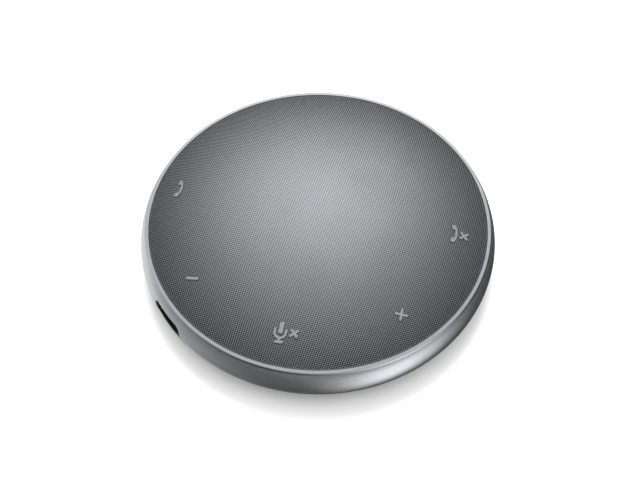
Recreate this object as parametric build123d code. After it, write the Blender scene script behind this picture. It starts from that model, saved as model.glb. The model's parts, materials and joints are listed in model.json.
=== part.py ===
from build123d import *
import os
from math import asin, degrees, radians, sqrt, tan

# Round conference speakerphone. Millimetres, +Z up, origin at the centre of the base on the table.
# The front (the mute key) faces -Y. An azimuth is measured from the front, positive towards +X.

# ---- overall shape ----
BODY_R = 60.0  # largest radius of the side
RIM_Z = 18.0  # top of the bezel ring
BULGE_Z = 11.1  # height of the largest radius
BEZEL_R = 57.9  # radius where the side meets the bezel's top face
GRILLE_R = 56.9  # inner edge of the bezel
DOME_TOP_Z = 24.26  # crown of the grille
SEAT_R = 50.5  # radius that the lower side curves in to
SHELL_BOTTOM_Z = 1.4
COVER_BOTTOM_Z = 0.7
WALL = 2.0

# ---- steps inside the side shell ----
COVER_SEAT_Z = 3.0  # the cover's rim stops just under this
LEDGE_TOP_Z = 4.4
LEDGE_R = 49.6
HOLLOW_TOP_Z = 15.6
TOP_HOLE_R = 54.9
BEZEL_SEAT_R = 57.0
BEZEL_SEAT_Z = 16.7
SHELL_TOP_Z = 17.05
BEZEL_FLANGE_Z = 17.2  # underside of the bezel's flange over the shell's edge

# ---- grille ----
GRILLE_EDGE_R = 56.85
GRILLE_EDGE_Z = 17.85
GRILLE_T = 0.5
GRILLE_HEM_R = 55.4  # the solid hem runs from here to the edge
CLOTH_GAP = 0.05
CLOTH_T = 0.2
CLOTH_R = 54.7
KEY_GAP = 0.15  # clearance between a key symbol and its window
WINDOW_Z = (15.0, 25.0)  # the windows are cut between these heights

# ---- base ----
COVER_R = 51.5
FOOT_R = (39.0, 47.0)
FOOT_GROOVE_GAP = 0.1
PLATE_R = 17.5
BOSS_R = 43.0  # radius of the circle of screw bosses
BOSS_AZIMUTHS = (60, 180, -60)
BOSS_OUTER_R = 3.4
PILOT_R = 1.0  # hole that a screw cuts its thread in

# ---- boards ----
MAIN_BOARD = (31.0, 54.5, 7.4, 8.6)  # inner radius, outer radius, low z, high z
KEY_BOARD = (30.0, 54.0, 14.7, 15.5)
KEY_FRAME = (33.0, 53.5, 15.5, 17.5)
POST_R = 35.5
POST_AZIMUTHS = (0, 90, 180, 270)

# ---- screws: head radius, head's low and high z, shank radius, shank's low and high z ----
HOUSING_SCREW = (1.9, 1.45, 2.15, 0.95, 2.15, 9.0)
BOARD_SCREW = (1.7, 8.6, 9.7, 0.85, 4.0, 8.6)
DRIVER_SCREW = (1.6, 18.4, 19.3, 0.8, 13.5, 18.4)
KEY_SCREW = (1.9, 16.5, 17.4, 0.95, 11.0, 16.5)
SHANK_GAP = 0.2  # clearance round a shank

# ---- loudspeaker ----
CHAMBER_R = (28.0, 29.5)
CHAMBER_Z = (2.2, 17.0)
GASKET_Z = (17.0, 17.6)
FLANGE_TOP_Z = 18.4
DRIVER_SCREW_CIRCLE_R = 26.9
DRIVER_SCREW_AZIMUTHS = (45, 135, 225, 315)
BASKET_WINDOW_AZIMUTHS = (0, 90, 180, 270)

# ---- side ports ----
PORT_AZIMUTH = -43.2
PORT_Z = 10.8
PORT_W = 14.8
PORT_H = 6.6
PORT_CORNER_R = 2.4
CUT_R = (50.0, 65.0)  # a port's cut runs between these radii
USB_A = (13.2, 5.8)  # outer width and height of the socket's metal shell
USB_A_MOUTH_R = 56.3
USB_A_BACK_R = 43.1
USB_C = (8.94, 3.16)
USB_C_CUT = (10.4, 4.6, 2.2)  # width, height and corner radius of its opening
USB_C_MOUTH_R = 57.8
USB_C_BACK_R = 50.3
USB_C_Z = MAIN_BOARD[3] + USB_C[1] / 2

# ---- keys ----
KEY_PLATE_Z = (17.1, 17.9)
SWITCH_Z = (15.5, 16.7)
KEY_PROUD = 0.35  # a symbol stands this far out of the grille
POCKET_GAP = 0.15
STROKE = 0.75
CROSS_STROKE = 0.85

os.makedirs("parts", exist_ok=True)


# ---- helpers ----
def save(name, shape):
    export_step(shape, f"parts/{name}.step")


def turned(face):
    """A solid of revolution about Z from a face drawn with x as the radius and y as the height."""
    return revolve(Plane.XZ * face, Axis.Z)


def polygon(*points):
    return make_face(Polyline(*points, close=True))


def cylinder(radius, low, high):
    return Pos(0, 0, low) * Cylinder(radius, high - low, align=(Align.CENTER, Align.CENTER, Align.MIN))


def ring(inner, outer, low, high):
    return cylinder(outer, low, high) - cylinder(inner, low - 1, high + 1)


def box(x, y, z):
    """A box from its (low, high) pairs."""
    low = (x[0], y[0], z[0])
    size = (x[1] - x[0], y[1] - y[0], z[1] - z[0])
    return Pos(*low) * Box(*size, align=(Align.MIN, Align.MIN, Align.MIN))


def at(azimuth, shape):
    """Turns a shape drawn at the front (on the -Y side) to an azimuth."""
    return Rot(0, 0, azimuth) * shape


def post(azimuth, radius, shape):
    """Moves a shape drawn on the Z axis out to a radius at an azimuth."""
    return at(azimuth, Pos(0, -radius, 0) * shape)


def group(shapes):
    total = shapes[0]
    for shape in shapes[1:]:
        total = total + shape
    return total


def front_outline(width, height, corner, z, outer_r, inner_r):
    """A rounded-rectangle bar along -Y at the front, from one radius to another."""
    plane = Plane(origin=(0, -inner_r, z), x_dir=(1, 0, 0), z_dir=(0, -1, 0))
    return extrude(plane * RectangleRounded(width, height, corner), outer_r - inner_r)


# ---- the body of revolution that the outside follows ----
UPPER_DROP = RIM_Z - BULGE_Z
UPPER_ARC_R = (UPPER_DROP**2 + (BODY_R - BEZEL_R) ** 2) / (2 * (BODY_R - BEZEL_R))


def body_of_revolution(inset, low, high):
    """The side's solid, pulled in by inset, between two heights."""
    upper_r = UPPER_ARC_R - inset
    x_r = BODY_R - SEAT_R - inset
    z_r = BULGE_Z - COVER_BOTTOM_Z - inset
    low_angle = degrees(asin((BULGE_Z - low) / z_r))
    high_angle = degrees(asin((high - BULGE_Z) / upper_r))
    lower = EllipticalCenterArc((SEAT_R, BULGE_Z), x_r, z_r, start_angle=-low_angle, arc_size=low_angle)
    upper = CenterArc((BODY_R - UPPER_ARC_R, BULGE_Z), upper_r, 0, high_angle)
    start = lower @ 0
    end = upper @ 1
    sides = Polyline((end.X, end.Y), (0, high), (0, low), (start.X, start.Y))
    return turned(make_face(Curve() + [lower, upper, sides]))


# ---- the grille's sphere ----
DOME_H = DOME_TOP_Z - GRILLE_EDGE_Z
DOME_R = (GRILLE_EDGE_R**2 + DOME_H**2) / (2 * DOME_H)


def dome_z(radius, inset=0.0):
    sphere_r = DOME_R - inset
    return DOME_TOP_Z - DOME_R + sqrt(sphere_r**2 - radius**2)


def dome_solid(inset, radius, low):
    """Everything under the sphere (pulled in by inset), out to a radius and down to a height."""
    edge_z = dome_z(radius, inset)
    arc = ThreePointArc((0, dome_z(0, inset)), (radius / 2, dome_z(radius / 2, inset)), (radius, edge_z))
    sides = Polyline((radius, edge_z), (radius, low), (0, low), (0, dome_z(0, inset)))
    return turned(make_face(Curve() + [arc, sides]))


# ---- key symbols, drawn about their own centre, with grow as an extra margin all round ----
def bar(width, height, grow, turn=0.0):
    w = width + 2 * grow
    h = height + 2 * grow
    return Rot(0, 0, turn) * RectangleRounded(w, h, min(w, h) * 0.3)


def minus(grow):
    return bar(4.1, 0.95, grow, 3)


def cross(size, turn):
    """The drawing of two crossed bars."""

    def draw(grow):
        return bar(size, CROSS_STROKE, grow, turn) + bar(size, CROSS_STROKE, grow, turn + 90)

    return draw


def microphone(grow):
    cup_y = 0.0
    cup_r = 1.8
    arm_top = 1.3
    capsule = Pos(0, 1.62) * RectangleRounded(1.45 + 2 * grow, 3.85 + 2 * grow, 0.4)
    band = Circle(cup_r + STROKE / 2 + grow) - Circle(cup_r - STROKE / 2 - grow)
    cup = Pos(0, cup_y) * (band & (Pos(0, -3) * Rectangle(6, 6)))
    arm = Rectangle(STROKE + 2 * grow, arm_top - cup_y + 2 * grow)
    arms = [Pos(side * cup_r, (arm_top + cup_y) / 2) * arm for side in (-1, 1)]
    stem = Pos(0, -2.4) * Rectangle(STROKE + 2 * grow, 1.0)
    foot = Pos(0.15, -3.1) * bar(2.8, 0.95, grow, 4)
    return capsule + cup + arms + stem + foot


def handset(turn):
    """The drawing of a receiver seen edge on: a bow with a pad at each end, hollow side to the left."""
    bow_r = 7.5
    half_span = 21
    reach = 2 * bow_r
    side_y = reach * tan(radians(half_span))

    def draw(grow):
        band = Circle(bow_r + STROKE / 2 + grow) - Circle(bow_r - STROKE / 2 - grow)
        wedge = make_face(Polyline((0, 0), (reach, -side_y), (reach, side_y), close=True))
        bow = Pos(0.5 - bow_r, 0) * (band & wedge)
        pads = [Pos(-0.45, side * 2.6) * bar(1.5, 1.7, grow, side * 12) for side in (-1, 1)]
        return Rot(0, 0, turn) * (bow + pads)

    return draw


# name, (x, y) of the key's centre, width and depth of its plate, its symbols as (drawing, x, y)
KEYS = {
    "answer_key": ((-48.6, 2.7), (4.6, 9.0), [(handset(-1.5), -0.1, -0.35)]),
    "volume_down_key": ((-34.65, -32.1), (7.0, 6.0), [(minus, 0.0, 0.0)]),
    "mute_key": ((-0.3, -46.0), (10.4, 9.0), [(microphone, -1.8, 0.0), (cross(3.45, 45), 2.55, 0.5)]),
    "volume_up_key": ((33.9, -31.4), (7.0, 7.0), [(cross(4.3, 1), 0.05, 0.05)]),
    "end_key": ((47.2, 3.4), (7.6, 9.0), [(handset(3), -1.45, -0.05), (cross(3.6, 45), 1.65, 0.0)]),
}


def symbols(key, grow):
    (x, y), _, drawn = KEYS[key]
    return [Pos(x + dx, y + dy) * draw(grow) for draw, dx, dy in drawn]


def symbol_bars(key, grow, low, high):
    return [extrude(Pos(0, 0, low) * face, high - low) for face in symbols(key, grow)]


# ================= casing =================
def port_cut():
    inner_r, outer_r = CUT_R
    return at(PORT_AZIMUTH, front_outline(PORT_W, PORT_H, PORT_CORNER_R, PORT_Z, outer_r, inner_r))


def usb_c_cut():
    inner_r, outer_r = CUT_R
    return at(180, front_outline(*USB_C_CUT, USB_C_Z, outer_r, inner_r))


def make_side_shell():
    shell = body_of_revolution(0.0, SHELL_BOTTOM_Z, SHELL_TOP_Z)
    shell -= body_of_revolution(WALL, LEDGE_TOP_Z, HOLLOW_TOP_Z)
    shell -= cylinder(COVER_R + 0.1, 0, COVER_SEAT_Z)
    shell -= cylinder(LEDGE_R, COVER_SEAT_Z - 0.1, LEDGE_TOP_Z + 0.1)
    shell -= cylinder(TOP_HOLE_R, HOLLOW_TOP_Z - 0.1, RIM_Z)
    shell -= cylinder(BEZEL_SEAT_R, BEZEL_SEAT_Z, RIM_Z)
    rib = box((-4, 4), (-51.0, -BOSS_R), (COVER_SEAT_Z, LEDGE_TOP_Z))
    boss = Pos(0, -BOSS_R, 0) * cylinder(BOSS_OUTER_R, COVER_SEAT_Z, KEY_BOARD[2])
    lower_hole = cylinder(PILOT_R, COVER_SEAT_Z - 0.1, 9.5)
    upper_hole = cylinder(PILOT_R, 10.6, KEY_BOARD[2] + 0.3)
    holes = Pos(0, -BOSS_R, 0) * (lower_hole + upper_hole)
    for azimuth in BOSS_AZIMUTHS:
        shell = shell + at(azimuth, rib + boss) - at(azimuth, holes)
    return shell - port_cut() - usb_c_cut()


def make_bezel_ring():
    section = polygon(
        (GRILLE_R, RIM_Z),
        (57.7, RIM_Z),
        (58.15, 17.65),
        (58.3, BEZEL_FLANGE_Z),
        (BEZEL_SEAT_R, BEZEL_FLANGE_Z),
        (BEZEL_SEAT_R, BEZEL_SEAT_Z),
        (TOP_HOLE_R, BEZEL_SEAT_Z),
        (TOP_HOLE_R, BEZEL_FLANGE_Z),
        (GRILLE_R, BEZEL_FLANGE_Z),
    )
    return turned(section)


def make_grille():
    sheet = dome_solid(0.0, GRILLE_EDGE_R, BEZEL_FLANGE_Z) - dome_solid(GRILLE_T, GRILLE_HEM_R, 10)
    for key in KEYS:
        for window in symbol_bars(key, KEY_GAP, *WINDOW_Z):
            sheet -= window
    return sheet


def make_cloth():
    top = GRILLE_T + CLOTH_GAP
    sheet = dome_solid(top, CLOTH_R, 17.3) - dome_solid(top + CLOTH_T, CLOTH_R + 5, 10)
    for key in KEYS:
        for window in symbol_bars(key, KEY_GAP, *WINDOW_Z):
            sheet -= window
    return sheet


def make_bottom_cover():
    low = COVER_BOTTOM_Z
    inner = FOOT_R[0] - FOOT_GROOVE_GAP
    outer = FOOT_R[1] + FOOT_GROOVE_GAP
    rim_top = COVER_SEAT_Z - 0.1
    floor_top = 2.2
    cover = turned(
        polygon(
            (0, 0.9),
            (PLATE_R + 0.1, 0.9),
            (PLATE_R + 0.1, low),
            (inner, low),
            (inner, 1.4),
            (outer, 1.4),
            (outer, low),
            (COVER_R - 0.7, low),
            (COVER_R, 1.4),
            (COVER_R, rim_top),
            (49.4, rim_top),
            (49.4, floor_top),
            (0, floor_top),
        )
    )
    for azimuth in BOSS_AZIMUTHS:
        cover += post(azimuth, BOSS_R, cylinder(4.2, 2.0, rim_top))
        head_hole = cylinder(HOUSING_SCREW[0] + SHANK_GAP, 0, HOUSING_SCREW[2])
        shank_hole = cylinder(HOUSING_SCREW[3] + SHANK_GAP, 2, 4)
        cover -= post(azimuth, BOSS_R, head_hole + shank_hole)
    for azimuth in POST_AZIMUTHS:
        cover += post(azimuth, POST_R, cylinder(2.2, 2.0, MAIN_BOARD[2]))
        cover -= post(azimuth, POST_R, cylinder(0.9, 3.4, 9))
    return cover


def make_foot_ring():
    inner, outer = FOOT_R
    bevel = 0.4
    section = polygon(
        (inner + bevel, 0),
        (outer - bevel, 0),
        (outer, bevel),
        (outer, 1.4),
        (inner, 1.4),
        (inner, bevel),
    )
    return turned(section)


def screw(head_r, head_low, head_high, shank_r, shank_low, shank_high):
    """A screw on the Z axis: a round head with a hexagonal recess in its free face, and a plain shank."""
    body = cylinder(head_r, head_low, head_high) + cylinder(shank_r, shank_low, shank_high)
    depth = (head_high - head_low) * 0.6
    recess = extrude(RegularPolygon(head_r * 0.45, 6), depth)
    free_face = head_high - depth if shank_low < head_low else head_low
    return body - Pos(0, 0, free_face) * recess


def screws(size, azimuths, radius):
    """The same screw at each azimuth of a circle, as one part."""
    return group([post(azimuth, radius, screw(*size)) for azimuth in azimuths])


save("side_shell", make_side_shell())
save("bezel_ring", make_bezel_ring())
save("grille_mesh", make_grille())
save("acoustic_cloth", make_cloth())
save("bottom_cover", make_bottom_cover())
save("foot_ring", make_foot_ring())
save("rating_plate", cylinder(PLATE_R, 0.75, 0.9))
save("housing_screws", screws(HOUSING_SCREW, BOSS_AZIMUTHS, BOSS_R))


# ================= ports =================
def socket_shell(width, height, corner, wall, mouth_r, back_r, z):
    tube = front_outline(width, height, corner, z, mouth_r, back_r)
    inner_corner = max(corner - wall, 0.05)
    hole = front_outline(width - 2 * wall, height - 2 * wall, inner_corner, z, mouth_r + 1, back_r + wall)
    return tube - hole


def make_port_surround():
    """A black lining for the wide port: a flange behind the wall, and a tub set back from the outside."""
    inside = body_of_revolution(WALL + 0.15, 5.0, 15.4)
    flange = front_outline(17.4, 8.8, 1.0, PORT_Z, 57.4, 54.9)
    tub = front_outline(PORT_W - 0.1, PORT_H - 0.1, PORT_CORNER_R - 0.05, PORT_Z, 62, 56)
    flush = body_of_revolution(0.25, 5.0, 16.0)
    lining = (flange & inside) + (tub & flush)
    lining -= front_outline(13.6, 6.0, 1.8, PORT_Z, 63, USB_A_MOUTH_R)
    lining -= front_outline(USB_A[0] + 0.1, USB_A[1] + 0.1, 0.55, PORT_Z, 63, 50)
    return lining


def make_usb_a_insulator():
    block = box((-6.2, 6.2), (-45.6, -43.5), (PORT_Z - 2.5, PORT_Z + 2.5))
    tongue = box((-5.55, 5.55), (-55.0, -45.6), (PORT_Z - 0.25, PORT_Z + 1.65))
    return block + tongue


def make_usb_a_contacts():
    low = PORT_Z - 0.4
    places = (-3.5, -1.0, 1.0, 3.5)
    return group([box((x - 0.5, x + 0.5), (-54.2, -46.5), (low, low + 0.15)) for x in places])


def make_usb_c_insulator():
    back = front_outline(8.3, 2.5, 1.2, USB_C_Z, 52.2, USB_C_BACK_R + 0.3)
    tongue = box((-3.3, 3.3), (-57.0, -52.0), (USB_C_Z - 0.35, USB_C_Z + 0.35))
    return back + tongue


save("port_surround", at(PORT_AZIMUTH, make_port_surround()))
usb_a_shell = socket_shell(*USB_A, 0.5, 0.35, USB_A_MOUTH_R, USB_A_BACK_R, PORT_Z)
save("usb_a_shell", at(PORT_AZIMUTH, usb_a_shell))
save("usb_a_insulator", at(PORT_AZIMUTH, make_usb_a_insulator()))
save("usb_a_contacts", at(PORT_AZIMUTH, make_usb_a_contacts()))
usb_c_shell = socket_shell(*USB_C, 1.5, 0.28, USB_C_MOUTH_R, USB_C_BACK_R, USB_C_Z)
save("usb_c_shell", at(180, usb_c_shell))
save("usb_c_insulator", at(180, make_usb_c_insulator()))


# ================= main board =================
def on_board(azimuth, radius, width, depth, height, lift=0.0):
    """A block on the main board: width around the axis, depth along the radius."""
    low = MAIN_BOARD[3] + lift
    across = (-width / 2, width / 2)
    along = (-radius - depth / 2, -radius + depth / 2)
    return at(azimuth, box(across, along, (low, low + height)))


def make_main_board():
    """A ring with a notch that the wide socket sits down in."""
    half = USB_A[0] / 2 + 0.2
    board = ring(*MAIN_BOARD) - at(PORT_AZIMUTH, box((-half, half), (-60, 0.2 - USB_A_BACK_R), (5, 10)))
    for azimuth in BOSS_AZIMUTHS:
        board -= post(azimuth, BOSS_R, cylinder(BOSS_OUTER_R + 0.6, 5, 10))
    for azimuth in POST_AZIMUTHS:
        board -= post(azimuth, POST_R, cylinder(BOARD_SCREW[3] + 0.25, 5, 10))
    return board


def make_shield_can():
    outer = on_board(86, 45, 15, 12.5, 2.2)
    inner = on_board(86, 45, 14.6, 12.1, 2.0, -0.01)
    return outer - inner


def make_capacitor():
    low = MAIN_BOARD[3]
    base = Box(6.6, 6.6, 0.8, align=(Align.CENTER, Align.CENTER, Align.MIN))
    return Pos(0, 0, low) * base + cylinder(3.1, low + 0.8, low + 5.2)


save("main_board", make_main_board())
save("dsp_chip", on_board(86, 45, 9, 9, 1.0))
save("shield_can", make_shield_can())
save("hub_chip", on_board(-22, 45, 7, 7, 0.9))
save("amplifier_chip", on_board(110, 44, 5, 5, 0.9))
save("flash_chip", on_board(40, 44, 5.3, 4, 1.2))
save("crystal", on_board(26, 42, 3.2, 2.5, 0.8))
save("capacitors", group([post(a, 43, make_capacitor()) for a in (-98, -110, -122, -134)]))
save("inductors", group([on_board(a, 43, 6, 6, 3.0) for a in (-78, -150)]))
save("board_screws", screws(BOARD_SCREW, POST_AZIMUTHS, POST_R))


# ================= loudspeaker =================
LEAD_AZIMUTH = 135


def make_speaker_chamber():
    inner, outer = CHAMBER_R
    low, high = CHAMBER_Z
    pot = turned(
        polygon(
            (0, low),
            (outer, low),
            (outer, 13.7),
            (35.0, 13.7),
            (35.0, KEY_BOARD[2]),
            (outer, KEY_BOARD[2]),
            (outer, high),
            (24.6, high),
            (24.6, high - 1.4),
            (inner, high - 3.4),
            (inner, 3.4),
            (0, 3.4),
        )
    )
    for azimuth in DRIVER_SCREW_AZIMUTHS:
        pot -= post(azimuth, DRIVER_SCREW_CIRCLE_R, cylinder(DRIVER_SCREW[3] + 0.05, 12, 18))
    pot -= at(LEAD_AZIMUTH, box((-2.4, 2.4), (-31, -27), (9.2, 11.2)))
    return pot


def make_basket():
    basket = turned(
        polygon(
            (21.6, FLANGE_TOP_Z),
            (28.6, FLANGE_TOP_Z),
            (28.6, GASKET_Z[1]),
            (22.6, GASKET_Z[1]),
            (17.9, 10.3),
            (17.9, 9.5),
            (10.4, 9.5),
            (10.4, 10.3),
            (17.0, 10.3),
            (17.5, 11.1),
            (16.2, 11.4),
            (16.2, 11.9),
            (18.0, 11.9),
            (21.6, 17.9),
        )
    )
    for azimuth in BASKET_WINDOW_AZIMUTHS:
        basket -= at(azimuth, box((-8, 8), (-25, -15), (12.9, 16.2)))
    for azimuth in DRIVER_SCREW_AZIMUTHS:
        basket -= post(azimuth, DRIVER_SCREW_CIRCLE_R, cylinder(DRIVER_SCREW[3] + 0.15, 17, 19))
    return basket


def make_spider():
    """The corrugated centring disc: three waves between the coil former and the basket's ledge."""
    low = 11.9
    thickness = 0.25
    wave = [(9.42, 0.0), (10.4, 0.0)]
    for n in range(6):
        wave.append((11.2 + n * 0.9, 0.55 if n % 2 == 0 else 0.0))
    wave += [(17.6, 0.0)]
    bottom = [(r, low + h) for r, h in wave]
    top = [(r, low + h + thickness) for r, h in reversed(wave)]
    return turned(polygon(*bottom, *top))


def make_surround():
    """A half roll of rubber between a flat lip on the cone and one on the basket."""
    roll_r = 22.5
    base = 18.95
    thickness = 0.3
    band = Circle(1.65) - Circle(1.65 - thickness)
    upper_half = Pos(0, 2) * Rectangle(5, 4)
    roll = turned(Pos(roll_r, base) * (band & upper_half))
    inner = ring(19.95, 21.1, base, base + thickness)
    outer = ring(23.9, 25.0, FLANGE_TOP_Z, base + thickness)
    return roll + inner + outer


def make_dust_cap():
    outer = [(0, 17.3), (5.6, 16.55), (10.6, 14.4)]
    inner = [(0, 17.0), (5.4, 16.27), (10.2, 14.4)]
    domes = []
    for crown, middle, edge in (outer, inner):
        arc = ThreePointArc(crown, middle, edge)
        domes.append(turned(make_face(Curve() + [arc, Polyline(edge, (0, edge[1]), crown)])))
    return domes[0] - domes[1]


def make_gasket():
    gasket = ring(24.6, 28.6, *GASKET_Z)
    for azimuth in DRIVER_SCREW_AZIMUTHS:
        gasket -= post(azimuth, DRIVER_SCREW_CIRCLE_R, cylinder(DRIVER_SCREW[3] + SHANK_GAP, 16, 19))
    return gasket


def make_lead(side):
    corners = ((0, -23.6, 14.3), (0, -26.2, 14.3), (0, -27.4, 10.2), (0, -36.5, 10.2))
    path = FilletPolyline(*corners, radius=0.95)
    profile = Plane(origin=path @ 0, z_dir=path % 0) * Circle(0.45)
    return Pos(side * 1.2, 0, 0) * sweep(profile, path=path)


def make_cone():
    lower = [(9.4, 13.2), (9.4, 13.75)]
    upper = [(20.0, 18.95), (20.8, 18.95), (20.8, 18.55), (20.2, 18.55)]
    return turned(polygon(*lower, *upper))


save("speaker_chamber", make_speaker_chamber())
save("chamber_gasket", make_gasket())
save("driver_basket", make_basket())
save("driver_top_plate", ring(10.3, 17.0, 8.0, 9.5))
save("driver_magnet", ring(11.2, 17.6, 5.2, 8.0))
save("driver_yoke", cylinder(17.0, 4.0, 5.2) + cylinder(9.0, 5.2, 9.5))
save("coil_former", ring(9.25, 9.4, 6.4, 14.0))
save("voice_coil", ring(9.4, 9.95, 7.0, 10.6))
save("cone", make_cone())
save("dust_cap", make_dust_cap())
save("surround", make_surround())
save("spider", make_spider())
save("driver_screws", screws(DRIVER_SCREW, DRIVER_SCREW_AZIMUTHS, DRIVER_SCREW_CIRCLE_R))
save("driver_terminals", at(LEAD_AZIMUTH, box((-3.5, 3.5), (-23.6, -22.8), (13.0, 17.6))))
save("speaker_leads", at(LEAD_AZIMUTH, group([make_lead(-1), make_lead(1)])))
save("speaker_connector", on_board(LEAD_AZIMUTH, 38.75, 6.5, 4.5, 3.0))


# ================= keys and microphones =================
MIC_AZIMUTHS = (23.5, -23.5, 130, -130)
MIC_R = 47.0
CABLE_AZIMUTH = 155
CABLE_R = 46.9  # outer face of the cable's connectors
CABLE_CONNECTOR_H = 1.4


def key_plate(key, grow, low, high):
    (x, y), (width, depth), _ = KEYS[key]
    face = Pos(x, y, low) * RectangleRounded(width + 2 * grow, depth + 2 * grow, 1.0 + grow)
    return extrude(face, high - low)


def make_key(key):
    """A plate under the grille that carries the raised symbols, whose tops follow the grille's dome."""
    sphere_top = dome_solid(-KEY_PROUD, GRILLE_EDGE_R, 10)
    body = key_plate(key, 0.0, *KEY_PLATE_Z)
    for symbol in symbol_bars(key, 0.0, KEY_PLATE_Z[1] - 0.2, WINDOW_Z[1]):
        body += symbol & sphere_top
    return body


def make_switch_case(key):
    x, y = KEYS[key][0]
    low, high = SWITCH_Z
    case = Pos(x, y, low) * Box(4.2, 4.2, high - low, align=(Align.CENTER, Align.CENTER, Align.MIN))
    return case - Pos(x, y, 0) * cylinder(1.15, low + 0.35, high + 1)


def make_plunger(key):
    x, y = KEYS[key][0]
    return Pos(x, y, 0) * cylinder(1.0, SWITCH_Z[0] + 0.75, KEY_PLATE_Z[0])


def make_key_board():
    board = ring(*KEY_BOARD)
    for azimuth in BOSS_AZIMUTHS:
        board -= post(azimuth, BOSS_R, cylinder(KEY_SCREW[3] + SHANK_GAP, 14, 16))
    return board


def make_key_frame():
    frame = ring(*KEY_FRAME)
    for key in KEYS:
        frame -= key_plate(key, POCKET_GAP, KEY_FRAME[2] - 1, KEY_FRAME[3] + 1)
    for azimuth in MIC_AZIMUTHS:
        frame -= post(azimuth, MIC_R, cylinder(3.0, 15, 18))
    for azimuth in BOSS_AZIMUTHS:
        shank_hole = cylinder(KEY_SCREW[3] + SHANK_GAP, 15, 18)
        head_hole = cylinder(KEY_SCREW[0] + SHANK_GAP, KEY_SCREW[1], 18)
        frame -= post(azimuth, BOSS_R, shank_hole + head_hole)
    return frame


def make_mic_capsule():
    across = (-1.9, 1.9)
    along = (-MIC_R - 1.5, -MIC_R + 1.5)
    return box(across, along, (KEY_BOARD[3], KEY_BOARD[3] + 1.1))


def make_mic_boot():
    return cylinder(2.8, 16.6, 18.0) - cylinder(0.6, 16, 19)


def make_cable():
    """A flat cable that loops out from one connector and back into the other."""
    half_width = 4.0
    half_thick = 0.15
    reach = 9.0
    low = MAIN_BOARD[3] + CABLE_CONNECTOR_H / 2
    high = KEY_BOARD[2] - CABLE_CONNECTOR_H / 2
    tall = high - low
    outside = RectangleRounded(reach + 2 * half_thick, tall + 2 * half_thick, 2.0)
    inside = RectangleRounded(reach - 2 * half_thick, tall - 2 * half_thick, 1.7)
    loop = (outside - inside) & (Pos(5, 0) * Rectangle(10, 20))
    plane = Plane(origin=(-half_width, -CABLE_R, (low + high) / 2), x_dir=(0, -1, 0), z_dir=(1, 0, 0))
    return extrude(plane * loop, 2 * half_width)


def make_cable_connectors():
    block = ((-5.0, 5.0), (-CABLE_R, -43.0))
    low = box(*block, (MAIN_BOARD[3], MAIN_BOARD[3] + CABLE_CONNECTOR_H))
    high = box(*block, (KEY_BOARD[2] - CABLE_CONNECTOR_H, KEY_BOARD[2]))
    return low + high


save("key_board", make_key_board())
save("key_frame", make_key_frame())
save("key_board_screws", screws(KEY_SCREW, BOSS_AZIMUTHS, BOSS_R))
save("switch_cases", group([make_switch_case(key) for key in KEYS]))
for key in KEYS:
    save(key, make_key(key))
    save(key.replace("key", "plunger"), make_plunger(key))
save("mic_capsules", group([at(a, make_mic_capsule()) for a in MIC_AZIMUTHS]))
save("mic_boots", group([post(a, MIC_R, make_mic_boot()) for a in MIC_AZIMUTHS]))
save("flat_cable", at(CABLE_AZIMUTH, make_cable()))
save("cable_connectors", at(CABLE_AZIMUTH, make_cable_connectors()))
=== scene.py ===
import json
import math

import bmesh
import bpy
import numpy as np
from mathutils import Matrix, Vector
from mathutils.bvhtree import BVHTree


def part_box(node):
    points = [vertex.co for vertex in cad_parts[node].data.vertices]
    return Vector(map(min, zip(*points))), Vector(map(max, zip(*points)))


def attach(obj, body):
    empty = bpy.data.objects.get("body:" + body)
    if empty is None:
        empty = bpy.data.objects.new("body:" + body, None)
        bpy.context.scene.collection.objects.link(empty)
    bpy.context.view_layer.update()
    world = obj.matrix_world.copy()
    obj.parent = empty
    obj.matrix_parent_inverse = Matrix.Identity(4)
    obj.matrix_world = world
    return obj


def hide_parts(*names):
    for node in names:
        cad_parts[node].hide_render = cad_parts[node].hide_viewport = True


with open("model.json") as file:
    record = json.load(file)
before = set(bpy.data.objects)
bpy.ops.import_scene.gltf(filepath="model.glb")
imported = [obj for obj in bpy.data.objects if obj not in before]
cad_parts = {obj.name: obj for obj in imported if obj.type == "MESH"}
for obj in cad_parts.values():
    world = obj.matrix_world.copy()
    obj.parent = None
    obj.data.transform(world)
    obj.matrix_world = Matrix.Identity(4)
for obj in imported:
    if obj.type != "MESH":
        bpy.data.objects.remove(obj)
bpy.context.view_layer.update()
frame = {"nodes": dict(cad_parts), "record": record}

MM = 0.001

# ---- sizes read from the frame ----
BODY_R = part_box("side_shell")[1].x
RIM_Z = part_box("bezel_ring")[1].z
GRILLE_EDGE_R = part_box("grille_mesh")[1].x
DOME_TOP_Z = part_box("grille_mesh")[1].z
SHELL_BOTTOM_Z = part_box("side_shell")[0].z
COVER_LOW, COVER_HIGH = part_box("bottom_cover")

# ---- sizes of the side's section that a box can't give ----
BULGE_Z = 11.1 * MM  # height of the largest radius
BEZEL_R = 57.9 * MM  # where the side's arc would meet the rim's height
SEAT_R = 50.5 * MM  # radius that the lower side curves in to
GRILLE_R = 56.9 * MM  # inner edge of the bezel
GRILLE_EDGE_Z = RIM_Z - 0.15 * MM
SHELL_EDGE_Z = RIM_Z - 0.83 * MM  # the side stops here, under the bezel's flange
ROUND_STEPS = 384  # segments in a full turn of the smooth parts

# ---- the view ----
VIEW_AZIMUTH = math.radians(12.2)
VIEW_ELEVATION = math.radians(54.885)
VIEW_ROLL = math.radians(0.121)
VIEW_DISTANCE = 7.5 * GRILLE_R
VIEW_AIM = (0.0116 * GRILLE_R, -0.1279 * GRILLE_R)
LENS = 72.08
SENSOR = 36.0


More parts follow.
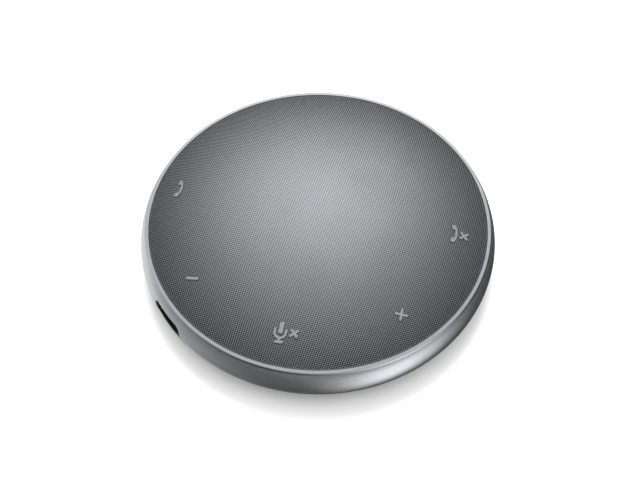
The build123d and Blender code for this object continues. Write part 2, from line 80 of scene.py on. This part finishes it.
# ================= mesh helpers =================
def new_object(name, vertices, faces, smooth_angle=math.radians(35)):
    mesh = bpy.data.meshes.new(name)
    mesh.from_pydata([tuple(v) for v in vertices], [], faces)
    mesh.validate()
    thing = bpy.data.objects.new(name, mesh)
    bpy.context.scene.collection.objects.link(thing)
    shade(thing, smooth_angle)
    return thing


def shade(thing, angle=math.radians(35)):
    """Smooth shading, kept sharp at edges that turn by more than an angle."""
    thing.data.shade_smooth()
    thing.data.set_sharp_from_angle(angle=angle)


def level_normals(thing):
    """Keeps the shading of large faces flat beside their rounded edges."""
    step = thing.modifiers.new("normals", "WEIGHTED_NORMAL")
    step.keep_sharp = True
    step.weight = 100


def arc(centre, radii, start, end, steps):
    """Points of a circular or elliptical arc, with angles in degrees from +radius towards +Z."""
    angles = np.radians(np.linspace(start, end, steps + 1))
    return [(centre[0] + radii[0] * math.cos(a), centre[1] + radii[1] * math.sin(a)) for a in angles]


def rounded(points, radius, steps=4):
    """A closed outline with each corner rounded by the same radius, or by one radius each."""
    radii = radius if isinstance(radius, (list, tuple)) else [radius] * len(points)
    outline = []
    for i, corner in enumerate(points):
        if radii[i] <= 0:
            outline.append(corner)
            continue
        here = Vector(corner)
        before = (Vector(points[i - 1]) - here).normalized()
        after = (Vector(points[(i + 1) % len(points)]) - here).normalized()
        half = before.angle(after) / 2
        setback = radii[i] / math.tan(half)
        middle = here + (before + after).normalized() * radii[i] / math.sin(half)
        first = here + before * setback - middle
        last = here + after * setback - middle
        turn = first.angle_signed(last)
        for k in range(steps + 1):
            angle = -turn * k / steps
            turned = Matrix.Rotation(angle, 2) @ first
            outline.append(tuple(middle + turned))
    return outline


def revolve(name, outline, steps=ROUND_STEPS, closed=True, smooth_angle=math.radians(35)):
    """A solid of revolution about Z from (radius, height) points."""
    points = np.array(outline, float)
    turns = np.linspace(0, 2 * math.pi, steps, endpoint=False)
    count = len(points)
    x = np.outer(np.cos(turns), points[:, 0])
    y = np.outer(np.sin(turns), points[:, 0])
    z = np.broadcast_to(points[:, 1], x.shape)
    vertices = np.stack([x, y, z], -1).reshape(-1, 3)
    sides = count if closed else count - 1
    faces = []
    for i in range(steps):
        here = i * count
        there = (i + 1) % steps * count
        for j in range(sides):
            k = (j + 1) % count
            faces.append((here + j, there + j, there + k, here + k))
    thing = new_object(name, vertices, faces, smooth_angle)
    merge_close(thing)
    return thing


def merge_close(thing, distance=0.0005 * MM):
    work = bmesh.new()
    work.from_mesh(thing.data)
    bmesh.ops.remove_doubles(work, verts=work.verts, dist=distance)
    bmesh.ops.dissolve_degenerate(work, edges=work.edges, dist=distance)
    bmesh.ops.recalc_face_normals(work, faces=work.faces)
    work.to_mesh(thing.data)
    work.free()


def use(thing, finish, body="housing", stands_for=()):
    """Gives a new piece its finish and its body."""
    thing.data.materials.clear()
    thing.data.materials.append(finish)
    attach(thing, body)
    if stands_for:
        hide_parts(*stands_for)
    return thing


# ================= material helpers =================
class Nodes:
    """A node tree and the few operations that the materials and the studio are made of."""

    def __init__(self, tree):
        self.tree = tree

    def node(self, kind, links=(), **settings):
        made = self.tree.nodes.new(kind)
        for name, value in settings.items():
            setattr(made, name, value)
        for socket, value in dict(links).items():
            self.feed(made.inputs[socket], value)
        return made

    def feed(self, socket, value):
        if isinstance(value, bpy.types.NodeSocket):
            self.tree.links.new(value, socket)
        else:
            socket.default_value = value

    def between(self, value, low, high, new_low=0.0, new_high=1.0):
        """Maps low..high to new_low..new_high, and holds it there."""
        links = {0: value, 1: low, 2: high, 3: new_low, 4: new_high}
        return self.node("ShaderNodeMapRange", links, clamp=True).outputs[0]

    def math(self, operation, a, b=0.0):
        return self.node("ShaderNodeMath", {0: a, 1: b}, operation=operation).outputs[0]

    def blend(self, share, first, second):
        mix = self.node("ShaderNodeMix", data_type="RGBA")
        self.feed(mix.inputs[0], share)
        self.feed(mix.inputs[6], first)
        self.feed(mix.inputs[7], second)
        return mix.outputs[2]

    def lobe(self, vector, towards, power, flat=False):
        """How far a vector points along a unit direction, from 0 to 1. Flat leaves out its height."""
        if flat:
            level = self.node("ShaderNodeVectorMath", {0: vector, 1: (1, 1, 0)}, operation="MULTIPLY")
            vector = level.outputs[0]
        unit = self.node("ShaderNodeVectorMath", {0: vector}, operation="NORMALIZE").outputs[0]
        links = {0: unit, 1: tuple(towards)}
        dot = self.node("ShaderNodeVectorMath", links, operation="DOT_PRODUCT").outputs["Value"]
        return self.math("POWER", self.math("MAXIMUM", dot, 0.0), power)


class Finish(Nodes):
    """A procedural material round one Principled BSDF, in the object's own coordinates (metres)."""

    def __init__(self, name, **fixed):
        self.material = bpy.data.materials.new(name)
        self.material.use_nodes = True
        super().__init__(self.material.node_tree)
        self.shader = self.tree.nodes["Principled BSDF"]
        for socket, value in fixed.items():
            self.shader.inputs[socket.replace("_", " ")].default_value = value
        self.place = self.node("ShaderNodeTexCoord").outputs["Object"]

    def stretched(self, x, y, z):
        links = {0: self.place, 1: (x, y, z)}
        return self.node("ShaderNodeVectorMath", links, operation="MULTIPLY").outputs[0]

    def noise(self, size, detail=3.0, rough=0.55, place=None):
        """Fractal noise with features of a size in metres, from 0 to 1."""
        links = {"Vector": place or self.place, "Scale": 1 / size, "Detail": detail, "Roughness": rough}
        return self.node("ShaderNodeTexNoise", links).outputs["Fac"]

    def bump(self, height, depth, strength=1.0):
        """Tilts the normal by a height from 0 to 1 that stands for a depth in metres."""
        links = {"Height": height, "Distance": depth, "Strength": strength}
        normal = self.node("ShaderNodeBump", links).outputs["Normal"]
        self.feed(self.shader.inputs["Normal"], normal)

    def put(self, socket, value):
        self.feed(self.shader.inputs[socket], value)


def grey(value, tint=0.0):
    """A neutral colour, cooler with a positive tint."""
    return (value * (1 - 0.4 * tint), value, value * (1 + tint), 1.0)


def silver_paint():
    f = Finish("silver_housing", Metallic=0.85, Roughness=0.3, Coat_Weight=0.25, Coat_Roughness=0.12)
    flakes = f.noise(0.45 * MM, 2.0)
    mottle = f.noise(9 * MM, 3.0)
    f.put("Base Color", f.blend(f.between(flakes, 0.3, 0.7), grey(0.43, 0.056), grey(0.52, 0.056)))
    f.put("Roughness", f.between(mottle, 0.3, 0.7, 0.285, 0.325))
    f.bump(flakes, 0.002 * MM, 0.5)
    return f.material


def bright_rim():
    """A metal ring whose top face carries a painted highlight: its base colour is made lighter above a
    height, over a fine turned grain; the slope outside it keeps the housing's darker tone.
    """
    f = Finish("bright_rim", Metallic=1.0, Roughness=0.28)
    turned = f.noise(0.25 * MM, 3.0, 0.6)
    height = f.node("ShaderNodeSeparateXYZ", {"Vector": f.place}).outputs["Z"]
    # Painted highlight: above this height the top face's base colour is made lighter, standing in for the
    # light it catches.
    painted_highlight_top = f.between(height, RIM_Z - 0.25 * MM, RIM_Z - 0.12 * MM)
    tone = f.between(turned, 0.35, 0.65, 0.0, 0.15)
    grain_and_painted_highlight = f.math("ADD", tone, f.math("MULTIPLY", painted_highlight_top, 0.85))
    f.put("Base Color", f.blend(grain_and_painted_highlight, grey(0.45, 0.05), grey(0.86, 0.05)))
    f.put("Roughness", f.between(f.noise(4 * MM), 0.3, 0.7, 0.285, 0.34))
    f.bump(turned, 0.004 * MM, 0.4)
    return f.material


def grille_metal():
    f = Finish("grille_metal", Metallic=1.0, Roughness=0.42)
    grain = f.noise(0.2 * MM, 2.0)
    patches = f.noise(14 * MM, 3.0)
    f.put("Base Color", f.blend(f.between(grain, 0.3, 0.7), grey(0.68, 0.056), grey(0.76, 0.056)))
    f.put("Roughness", f.between(patches, 0.3, 0.7, 0.31, 0.36))
    f.bump(grain, 0.004 * MM, 0.4)
    return f.material


def scrim_cloth():
    f = Finish("scrim_cloth", Roughness=0.95, Specular_IOR_Level=0.1)
    weave = f.math("MULTIPLY", wave(f, 0.22 * MM, "X"), wave(f, 0.22 * MM, "Y"))
    f.put("Base Color", f.blend(weave, grey(0.004), grey(0.014)))
    f.bump(weave, 0.05 * MM)
    return f.material


def wave(f, pitch, direction):
    links = {"Vector": f.place, "Scale": 2 * math.pi / pitch / 20}
    settings = {"wave_type": "BANDS", "bands_direction": direction, "wave_profile": "SIN"}
    return f.node("ShaderNodeTexWave", links, **settings).outputs["Fac"]


def moulded(name, dark, light, rough, grain=0.35 * MM, depth=0.012 * MM, tint=0.0, **fixed):
    """Moulded plastic or rubber: a fine spark-eroded grain, and faint patches in tone and gloss."""
    f = Finish(name, **fixed)
    texture = f.noise(grain, 2.0, 0.6)
    patches = f.noise(12 * MM, 3.0)
    f.put("Base Color", f.blend(f.between(patches, 0.25, 0.75), grey(dark, tint), grey(light, tint)))
    f.put("Roughness", f.between(texture, 0.3, 0.7, rough - 0.06, rough + 0.06))
    f.bump(texture, depth)
    return f.material


def metal(name, colour_low, colour_high, rough, streaks=(1, 1, 1), grain=0.3 * MM):
    """Bare or plated metal: fine streaks or grain in tone, gloss and relief."""
    f = Finish(name, Metallic=1.0)
    marks = f.noise(grain, 3.0, 0.6, f.stretched(*streaks))
    f.put("Base Color", f.blend(f.between(marks, 0.3, 0.7), colour_low, colour_high))
    f.put("Roughness", f.between(marks, 0.3, 0.7, rough - 0.05, rough + 0.07))
    f.bump(marks, 0.004 * MM, 0.5)
    return f.material


def circuit_board():
    f = Finish("board_green", Roughness=0.35, Coat_Weight=0.3, Coat_Roughness=0.2)
    tracks = f.node("ShaderNodeTexBrick", {"Vector": f.place, "Scale": 160.0, "Mortar Size": 0.03})
    mask = f.math("MULTIPLY", tracks.outputs["Fac"], f.between(f.noise(5 * MM), 0.45, 0.55))
    f.put("Base Color", f.blend(mask, (0.006, 0.055, 0.02, 1), (0.015, 0.12, 0.045, 1)))
    f.bump(mask, 0.02 * MM)
    return f.material


def cone_paper():
    f = Finish("cone_paper", Roughness=0.8)
    pulp = f.noise(0.6 * MM, 4.0, 0.65)
    f.put("Base Color", f.blend(f.between(pulp, 0.3, 0.7), grey(0.012), grey(0.03)))
    f.bump(pulp, 0.05 * MM)
    return f.material


def wound_copper():
    f = Finish("coil_copper", Metallic=1.0, Roughness=0.3)
    turns = wave(f, 0.16 * MM, "Z")
    f.put("Base Color", f.blend(turns, (0.35, 0.12, 0.05, 1), (0.75, 0.3, 0.14, 1)))
    f.bump(turns, 0.05 * MM)
    return f.material


FINISHES = {
    "silver_housing": silver_paint(),
    "bright_rim": bright_rim(),
    "grille_metal": grille_metal(),
    "scrim_cloth": scrim_cloth(),
    "cover_plastic": moulded("cover_plastic", 0.022, 0.03, 0.5),
    "foot_rubber": moulded("foot_rubber", 0.012, 0.018, 0.72, 0.5 * MM, 0.02 * MM),
    "plate_label": moulded("plate_label", 0.1, 0.115, 0.4, 0.2 * MM, 0.003 * MM),
    "screw_steel": metal("screw_steel", grey(0.12), grey(0.2), 0.38),
    "port_black": moulded("port_black", 0.012, 0.018, 0.42, 0.25 * MM),
    "socket_nickel": metal("socket_nickel", grey(0.5, -0.02), grey(0.62, -0.02), 0.26, (1, 1, 6)),
    "insulator_plastic": moulded("insulator_plastic", 0.016, 0.024, 0.45, 0.2 * MM),
    "contact_gold": metal("contact_gold", (0.62, 0.42, 0.14, 1), (0.78, 0.55, 0.22, 1), 0.22),
    "board_green": circuit_board(),
    "chip_epoxy": moulded("chip_epoxy", 0.014, 0.02, 0.6, 0.15 * MM),
    "component_can": metal("component_can", grey(0.4), grey(0.55), 0.32, (1, 1, 0.2)),
    "key_grey": moulded("key_grey", 0.175, 0.2, 0.42, 0.3 * MM, 0.004 * MM, 0.05),
    "switch_plastic": moulded("switch_plastic", 0.02, 0.03, 0.5),
    "frame_plastic": moulded("frame_plastic", 0.02, 0.028, 0.55),
    "basket_steel": metal("basket_steel", grey(0.09), grey(0.13), 0.45),
    "magnet_steel": metal("magnet_steel", grey(0.32), grey(0.42), 0.35),
    "coil_copper": wound_copper(),
    "cone_paper": cone_paper(),
    "surround_rubber": moulded("surround_rubber", 0.012, 0.018, 0.6, 0.4 * MM),
    "cable_white": moulded("cable_white", 0.6, 0.68, 0.4, 0.6 * MM, 0.006 * MM),
    "lead_red": moulded("lead_red", 0.2, 0.24, 0.4, 0.4 * MM),
}


# ================= casing =================
def side_section():
    """The outside of the side from its foot up to the rim's gap."""
    upper_drop = RIM_Z - BULGE_Z
    upper_in = BODY_R - BEZEL_R
    upper_r = (upper_drop**2 + upper_in**2) / (2 * upper_in)
    lower_drop = BULGE_Z - COVER_LOW.z
    low_angle = -math.degrees(math.asin((BULGE_Z - SHELL_BOTTOM_Z) / lower_drop))
    high_angle = math.degrees(math.asin((SHELL_EDGE_Z - BULGE_Z) / upper_r))
    lower = arc((SEAT_R, BULGE_Z), (BODY_R - SEAT_R, lower_drop), low_angle, 0, 28)
    upper = arc((BODY_R - upper_r, BULGE_Z), (upper_r, upper_r), 0, high_angle, 24)
    return lower + upper[1:]


# azimuth from the front towards +X, width, height, corner radius and middle height of each port's opening
PORTS = {
    "usb_a": (-43.2, 14.8 * MM, 6.6 * MM, 2.4 * MM, 10.8 * MM),
    "usb_c": (180, 10.4 * MM, 4.6 * MM, 2.2 * MM, 10.18 * MM),
}


def port_cutter(port):
    """A rounded bar through the side at a port."""
    azimuth, width, height, corner, z = PORTS[port]
    x = width / 2
    y = height / 2
    outline = rounded([(-x, -y), (x, -y), (x, y), (-x, y)], corner, steps=12)
    count = len(outline)
    turn = Matrix.Rotation(math.radians(azimuth), 3, "Z")
    reaches = (BODY_R - 8 * MM, BODY_R + 5 * MM)
    vertices = [turn @ Vector((px, -reach, z + py)) for reach in reaches for px, py in outline]
    faces = [tuple(range(count))[::-1], tuple(range(count, 2 * count))]
    faces += [(k, (k + 1) % count, count + (k + 1) % count, count + k) for k in range(count)]
    cutter = new_object(f"{port}_cutter", vertices, faces)
    merge_close(cutter)
    return cutter


def cut(thing, cutter):
    """Takes the cutter's shape out of a piece, for good."""
    step = thing.modifiers.new("cut", "BOOLEAN")
    step.operation = "DIFFERENCE"
    step.solver = "EXACT"
    step.object = cutter
    evaluated = thing.evaluated_get(bpy.context.evaluated_depsgraph_get())
    made = bpy.data.meshes.new_from_object(evaluated)
    thing.modifiers.clear()
    thing.data = made
    bpy.data.objects.remove(cutter)


def make_side_shell():
    wall = 2 * MM
    outside = side_section()
    seat = COVER_HIGH.x + 0.1 * MM
    inside = [
        (57.0 * MM, SHELL_EDGE_Z),
        (57.0 * MM, 16.7 * MM),
        (54.9 * MM, 16.7 * MM),
        (54.9 * MM, 15.5 * MM),
    ]
    hollow = arc((SEAT_R, BULGE_Z), (BODY_R - SEAT_R - wall, 8.4 * MM), 30, -50, 12)
    ledge = [
        (49.6 * MM, 4.4 * MM),
        (49.6 * MM, 3.0 * MM),
        (seat, 3.0 * MM),
        (seat, SHELL_BOTTOM_Z),
    ]
    shell = revolve("side_shell_body", outside + inside + hollow + ledge)
    for port in PORTS:
        cut(shell, port_cutter(port))
    shade(shell)
    level_normals(shell)
    return shell


def make_bezel_ring():
    corners = [
        (GRILLE_R, RIM_Z, 0.05),
        (58.05 * MM, RIM_Z - 0.07 * MM, 0.1),
        (58.38 * MM, 17.2 * MM, 0.02),
        (57.0 * MM, 17.2 * MM, 0),
        (57.0 * MM, 16.7 * MM, 0.05),
        (54.9 * MM, 16.7 * MM, 0.05),
        (54.9 * MM, 17.2 * MM, 0.05),
        (GRILLE_R, 17.2 * MM, 0),
    ]
    outline = rounded([(r, z) for r, z, _ in corners], [radius * MM for _, _, radius in corners])
    bezel = revolve("bezel_ring_body", outline)
    level_normals(bezel)
    return bezel


# ================= grille =================
MESH_PITCH = 0.0135 * GRILLE_R
MESH_TURN = math.radians(-4.7)
MESH_TIGHTEN = 0.11  # how much closer the holes are at the rim than at the crown
HOLE_SHARE = (0.4, 0.73)  # a hole's width as a share of the pitch, at the crown and at the rim
HOLE_GROWTH = 1.8  # with a higher power, the holes widen nearer to the rim
HOLE_DROP = 0.03 * MM  # the sheet curves down to each hole by this much
MESH_R = 56.62 * MM  # the holes stop here, and the plain hem goes on
WELD = 0.004 * MM  # corners nearer than this become one
CLOTH_DEPTH = 0.55 * MM
CLOTH_CELL = 1.1 * MM
CLOTH_THICKNESS = 0.2 * MM
WINDOW_GAP = 0.12 * MM  # clearance round a key's symbol


def dome_z(radius):
    drop = DOME_TOP_Z - GRILLE_EDGE_Z
    sphere_r = (GRILLE_EDGE_R**2 + drop**2) / (2 * drop)
    return DOME_TOP_Z - sphere_r + np.sqrt(sphere_r**2 - np.square(radius))


def on_dome(u, v, drop=0.0):
    """Places points of the flat square lattice on the dome. The lattice tightens towards the rim."""
    radii = np.linspace(0, MESH_R, 400)
    lattice_radii = radii * (1 + MESH_TIGHTEN * (radii / GRILLE_R) ** 2)
    reach = np.hypot(u, v)
    radius = np.interp(reach, lattice_radii, radii)
    scale = np.divide(radius, reach, out=np.ones_like(reach), where=reach > 0)
    x = scale * (u * math.cos(MESH_TURN) - v * math.sin(MESH_TURN))
    y = scale * (u * math.sin(MESH_TURN) + v * math.cos(MESH_TURN))
    return np.stack([x, y, dome_z(radius) - drop], -1)


def lattice(pitch):
    """Knots of a flat square lattice that covers the dome, and the four knots of each of its cells."""
    edge = MESH_R * (1 + MESH_TIGHTEN * (MESH_R / GRILLE_R) ** 2)
    reach = math.ceil(edge / pitch)
    line = np.arange(-reach, reach + 1) * pitch
    u, v = np.meshgrid(line, line, indexing="ij")
    inside = np.hypot(u, v) < edge
    kept = inside[:-1, :-1] | inside[1:, :-1] | inside[1:, 1:] | inside[:-1, 1:]
    i, j = np.nonzero(kept)
    count = 2 * reach + 1
    cells = [i * count + j, (i + 1) * count + j, (i + 1) * count + j + 1, i * count + j + 1]
    return u.ravel(), v.ravel(), cells, edge


def perforated_sheet():
    """Square holes in a square lattice: each cell is four strips that slope from its border to its hole."""
    u, v, cells, edge = lattice(MESH_PITCH)
    middle_u = u[cells[0]] + MESH_PITCH / 2
    middle_v = v[cells[0]] + MESH_PITCH / 2
    crown, rim = HOLE_SHARE
    half = MESH_PITCH / 2 * (crown + (rim - crown) * (np.hypot(middle_u, middle_v) / edge) ** HOLE_GROWTH)
    corners = ((-1, -1), (1, -1), (1, 1), (-1, 1))
    holes = [on_dome(middle_u + half * a, middle_v + half * b, HOLE_DROP) for a, b in corners]
    vertices = np.concatenate([on_dome(u, v), *holes])
    first = len(u)
    count = len(middle_u)
    hole = [first + k * count + np.arange(count) for k in range(4)]
    strips = []
    for k in range(4):
        after = (k + 1) % 4
        strips.append(np.stack([cells[k], cells[after], hole[after], hole[k]], -1))
    return vertices, np.concatenate(strips).tolist()


def is_covered(tree, point, gap=0.0):
    """True if a key's symbol stands over a point of the grille, or within a gap of it."""
    for x, y in ((0, 0), (gap, 0), (-gap, 0), (0, gap), (0, -gap)):
        start = Vector((point.x + x, point.y + y, 2 * DOME_TOP_Z))
        hit = tree.ray_cast(start, Vector((0, 0, -1)))[0]
        if hit is not None and hit.z > point.z:
            return True
    return False


def cut_window(work, key):
    """Opens the sheet round a key's symbols, and splits the strips that the outline crosses first."""
    low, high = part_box(key)
    tree = BVHTree.FromObject(frame["nodes"][key], bpy.context.evaluated_depsgraph_get())

    def near():
        found = []
        for face in work.faces:
            c = face.calc_center_median()
            if low.x - MM < c.x < high.x + MM and low.y - MM < c.y < high.y + MM:
                found.append(face)
        return found

    crossed = set()
    for face in near():
        covered = [is_covered(tree, vertex.co, WINDOW_GAP) for vertex in face.verts]
        if any(covered) and not all(covered):
            crossed.update(face.edges)
    bmesh.ops.subdivide_edges(work, edges=list(crossed), cuts=2, use_grid_fill=True)
    gone = [face for face in near() if is_covered(tree, face.calc_center_median(), WINDOW_GAP)]
    bmesh.ops.delete(work, geom=gone, context="FACES")


def finish_sheet(sheet, added=None):
    """Clears up a sheet made on the lattice, opens a window round each key, and takes in one more piece."""
    work = bmesh.new()
    work.from_mesh(sheet.data)
    loose = [vertex for vertex in work.verts if not vertex.link_faces]
    bmesh.ops.delete(work, geom=loose, context="VERTS")
    bmesh.ops.remove_doubles(work, verts=work.verts, dist=WELD)
    bmesh.ops.dissolve_degenerate(work, edges=work.edges, dist=WELD)
    for key in KEYS:
        cut_window(work, key)
    if added:
        work.from_mesh(added.data)
        bpy.data.objects.remove(added)
    bmesh.ops.recalc_face_normals(work, faces=work.faces)
    work.to_mesh(sheet.data)
    work.free()
    shade(sheet, math.pi)


def make_grille():
    vertices, faces = perforated_sheet()
    sheet = new_object("grille_mesh_sheet", vertices, faces)
    hem = [
        (MESH_R - 0.1 * MM, dome_z(MESH_R - 0.1 * MM) - 0.02 * MM),
        (MESH_R + 0.02 * MM, dome_z(MESH_R + 0.02 * MM) - 0.06 * MM),
        (MESH_R + 0.04 * MM, RIM_Z - 0.35 * MM),
        (GRILLE_R - 0.02 * MM, RIM_Z - 0.4 * MM),
        (GRILLE_R - 0.02 * MM, RIM_Z - 0.6 * MM),
    ]
    finish_sheet(sheet, revolve("grille_hem", hem, closed=False, smooth_angle=math.pi))
    return sheet


def make_cloth():
    """A black cloth stretched under the whole grille."""
    u, v, cells, _ = lattice(CLOTH_CELL)
    cloth = new_object("acoustic_cloth_sheet", on_dome(u, v, CLOTH_DEPTH), np.stack(cells, -1).tolist())
    finish_sheet(cloth)
    thicken = cloth.modifiers.new("thickness", "SOLIDIFY")
    thicken.thickness = CLOTH_THICKNESS
    return cloth


KEYS = ("answer_key", "volume_down_key", "mute_key", "volume_up_key", "end_key")
casing = {
    "side_shell": (make_side_shell, "silver_housing"),
    "bezel_ring": (make_bezel_ring, "bright_rim"),
    "grille_mesh": (make_grille, "grille_metal"),
    "acoustic_cloth": (make_cloth, "scrim_cloth"),
}
for node, (make, slot) in casing.items():
    use(make(), FINISHES[slot], stands_for=[node])


# ================= finishes of the CAD nodes =================
node_slot = {}
for part in frame["record"]["subparts"]:
    node_slot[part["node"]] = part["material_slot"]
for name, thing in frame["nodes"].items():
    thing.data.materials.clear()
    thing.data.materials.append(FINISHES[node_slot[name]])


# ================= camera, floor and light =================
def around(azimuth, elevation, distance):
    """A point at a compass direction from the front towards +X, and a height angle."""
    flat = distance * math.cos(elevation)
    return Vector((flat * math.sin(azimuth), -flat * math.cos(azimuth), distance * math.sin(elevation)))


def aim(thing, place, target, roll=0.0):
    thing.location = place
    facing = (Vector(target) - Vector(place)).to_track_quat("-Z", "Y")
    thing.rotation_mode = "QUATERNION"
    thing.rotation_quaternion = facing @ Matrix.Rotation(roll, 3, "Z").to_quaternion()


def make_camera():
    data = bpy.data.cameras.new("camera")
    data.lens = LENS
    data.sensor_width = SENSOR
    data.clip_start = 0.01
    camera = bpy.data.objects.new("camera", data)
    bpy.context.scene.collection.objects.link(camera)
    target = Matrix.Rotation(VIEW_AZIMUTH, 3, "Z") @ Vector((*VIEW_AIM, RIM_Z))
    aim(camera, target + around(VIEW_AZIMUTH, VIEW_ELEVATION, VIEW_DISTANCE), target, VIEW_ROLL)
    bpy.context.scene.camera = camera


# Broad soft lights below the table's edge: (compass direction right of the camera, strength, narrowness).
LOW_LOBES = ((42, 2.1, 8.5), (-69, 0.33, 9), (-125, 1.25, 5))

# Those above it: the same, with a height angle after the compass direction.
ROOM_LOBES = ((180, 47, 1.1, 18), (180, 75, 0.28, 16), (0, 25, 0.3, 4))
LOW_BASE = 0.01
ROOM_BASE = 0.04


def make_floor():
    """A plain pale paper floor, hidden from reflections: the metal mirrors the world's lights instead."""
    reach = 3.0
    corners = [(-reach, -reach, 0), (reach, -reach, 0), (reach, reach, 0), (-reach, reach, 0)]
    floor = new_object("floor", corners, [(0, 1, 2, 3)])
    f = Finish("floor_paper", Roughness=0.9, Specular_IOR_Level=0.2, Emission_Strength=0.17)
    f.put("Emission Color", (1, 1, 1, 1))
    f.put("Base Color", f.blend(f.noise(3 * MM), grey(0.84), grey(0.86)))
    floor.data.materials.append(f.material)
    floor.visible_glossy = False
    return floor


def area_light(name, azimuth, elevation, distance, size, power):
    """A round softbox at a compass direction right of the camera, which isn't seen in the metal."""
    data = bpy.data.lights.new(name, "AREA")
    data.shape = "DISK"
    data.size = size
    data.energy = power
    lamp = bpy.data.objects.new(name, data)
    bpy.context.scene.collection.objects.link(lamp)
    place = around(VIEW_AZIMUTH + math.radians(azimuth), math.radians(elevation), distance)
    aim(lamp, place, (0, 0, 0))
    lamp.visible_glossy = False


def make_world():
    """The studio: a dim room with broad soft lights in it, some of them lower than the table's edge."""
    world = bpy.data.worlds.new("studio")
    world.use_nodes = True
    nodes = Nodes(world.node_tree)
    direction = nodes.node("ShaderNodeTexCoord").outputs["Generated"]
    height = nodes.node("ShaderNodeSeparateXYZ", {"Vector": direction}).outputs["Z"]
    low = 0.0
    for azimuth, strength, power in LOW_LOBES:
        towards = around(VIEW_AZIMUTH + math.radians(azimuth), 0, 1)
        lobe = nodes.lobe(direction, towards, power, flat=True)
        low = nodes.math("ADD", low, nodes.math("MULTIPLY", lobe, strength))
    not_under = nodes.between(height, -0.97, -0.72, 0.15, 1.0)
    below_horizon = nodes.between(height, -0.3, 0.0, 1.0, 0.0)
    low = nodes.math("MULTIPLY", low, nodes.math("MULTIPLY", not_under, below_horizon))
    level = nodes.math("ADD", low, nodes.between(height, -0.05, 0.05, LOW_BASE, ROOM_BASE))
    for azimuth, elevation, strength, power in ROOM_LOBES:
        towards = around(VIEW_AZIMUTH + math.radians(azimuth), math.radians(elevation), 1)
        lobe = nodes.lobe(direction, towards, power)
        level = nodes.math("ADD", level, nodes.math("MULTIPLY", lobe, strength))
    background = world.node_tree.nodes["Background"]
    nodes.feed(background.inputs["Strength"], level)
    background.inputs["Color"].default_value = (1, 1, 1, 1)
    bpy.context.scene.world = world


make_camera()
make_floor()
make_world()
area_light("shadow_light", 180, 62, 1.2, 0.7, 13)
area_light("overhead", 0, 88, 1.2, 1.6, 18)
bpy.context.scene.view_settings.view_transform = "Standard"
